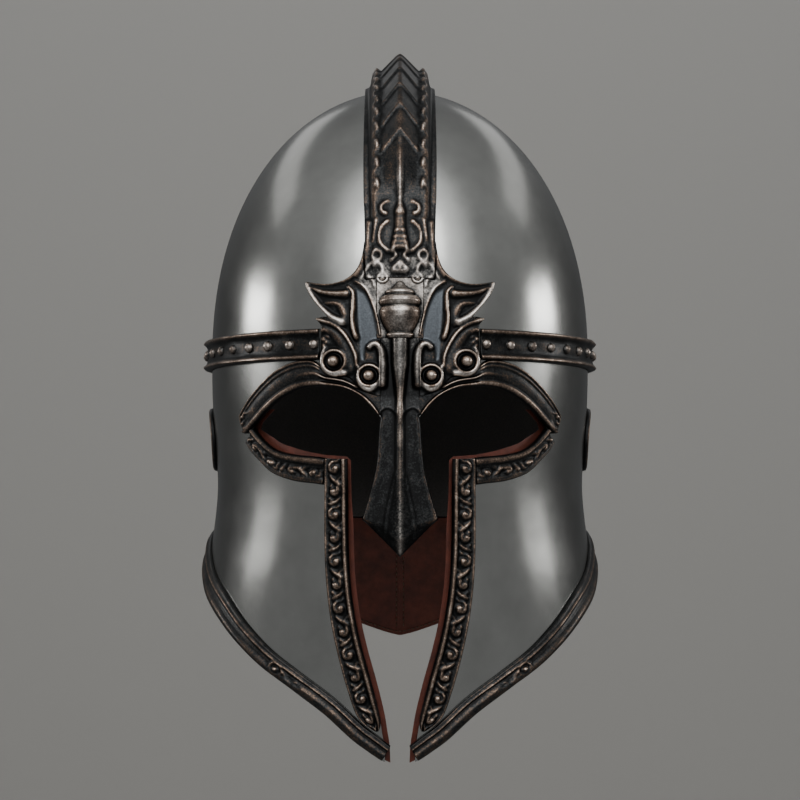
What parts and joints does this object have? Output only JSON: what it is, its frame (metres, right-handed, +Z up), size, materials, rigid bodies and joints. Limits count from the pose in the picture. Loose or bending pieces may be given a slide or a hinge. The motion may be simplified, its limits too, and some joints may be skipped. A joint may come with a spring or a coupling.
{
  "type": "spangenhelm helmet",
  "caption": "Tall steel war helmet with a cast comb, studded brow band, long nose guard, eye openings and pointed cheek plates, leather lined.",
  "frame": {"origin": "centre of the brow line, inside the hollow, where the helmet sits on a head", "axes": "+Z up, the wearer looks along -Y, +X to the wearer's left"},
  "size_m": [0.2206, 0.2767, 0.3802],
  "materials": {
    "steel": "satin polished steel plate",
    "pewter": "dark antiqued casting with worn brown edges",
    "rubbed_pewter": "antiqued casting rubbed bright on its high points",
    "padding": "matt black padded lining",
    "red_leather": "red-brown leather, matt grain",
    "dark_leather": "dark brown leather, matt grain, stitched"
  },
  "bodies": {
    "root": {"brow_band": "pewter", "brow_scroll_left": "pewter", "brow_scroll_right": "pewter", "brow_stud_01": "rubbed_pewter", "brow_stud_02": "rubbed_pewter", "brow_stud_03": "rubbed_pewter", "brow_stud_04": "rubbed_pewter", "brow_stud_05": "rubbed_pewter", "brow_stud_06": "rubbed_pewter", "brow_stud_07": "rubbed_pewter", "brow_stud_08": "rubbed_pewter", "brow_stud_09": "rubbed_pewter", "brow_stud_10": "rubbed_pewter", "brow_stud_11": "rubbed_pewter", "brow_stud_12": "rubbed_pewter", "brow_stud_13": "rubbed_pewter", "brow_stud_14": "rubbed_pewter", "brow_stud_15": "rubbed_pewter", "brow_stud_16": "rubbed_pewter", "brow_stud_17": "rubbed_pewter", "brow_stud_18": "rubbed_pewter", "brow_stud_19": "rubbed_pewter", "brow_stud_20": "rubbed_pewter", "brow_stud_21": "rubbed_pewter", "brow_stud_22": "rubbed_pewter", "brow_stud_23": "rubbed_pewter", "brow_stud_24": "rubbed_pewter", "brow_stud_25": "rubbed_pewter", "brow_stud_26": "rubbed_pewter", "brow_stud_27": "rubbed_pewter", "brow_stud_28": "rubbed_pewter", "brow_stud_29": "rubbed_pewter", "brow_stud_30": "rubbed_pewter", "brow_stud_31": "rubbed_pewter", "brow_stud_32": "rubbed_pewter", "brow_stud_33": "rubbed_pewter", "brow_stud_34": "rubbed_pewter", "brow_stud_35": "rubbed_pewter", "brow_stud_36": "rubbed_pewter", "brow_stud_37": "rubbed_pewter", "brow_stud_38": "rubbed_pewter", "cheek_lining_left": "red_leather", "cheek_lining_right": "red_leather", "crest": "pewter", "ear_boss_left": "pewter", "ear_boss_right": "pewter", "eye_rim_left": "pewter", "eye_rim_right": "pewter", "eyebrow_left": "pewter", "eyebrow_right": "pewter", "face_guard": "steel", "finial": "rubbed_pewter", "head_lining": "padding", "lower_rim": "pewter", "mouth_rim_left": "pewter", "mouth_rim_right": "pewter", "nasal": "pewter", "neck_lining": "dark_leather", "skull_plate_left": "steel", "skull_plate_right": "steel"}
  },
  "joints": []
}
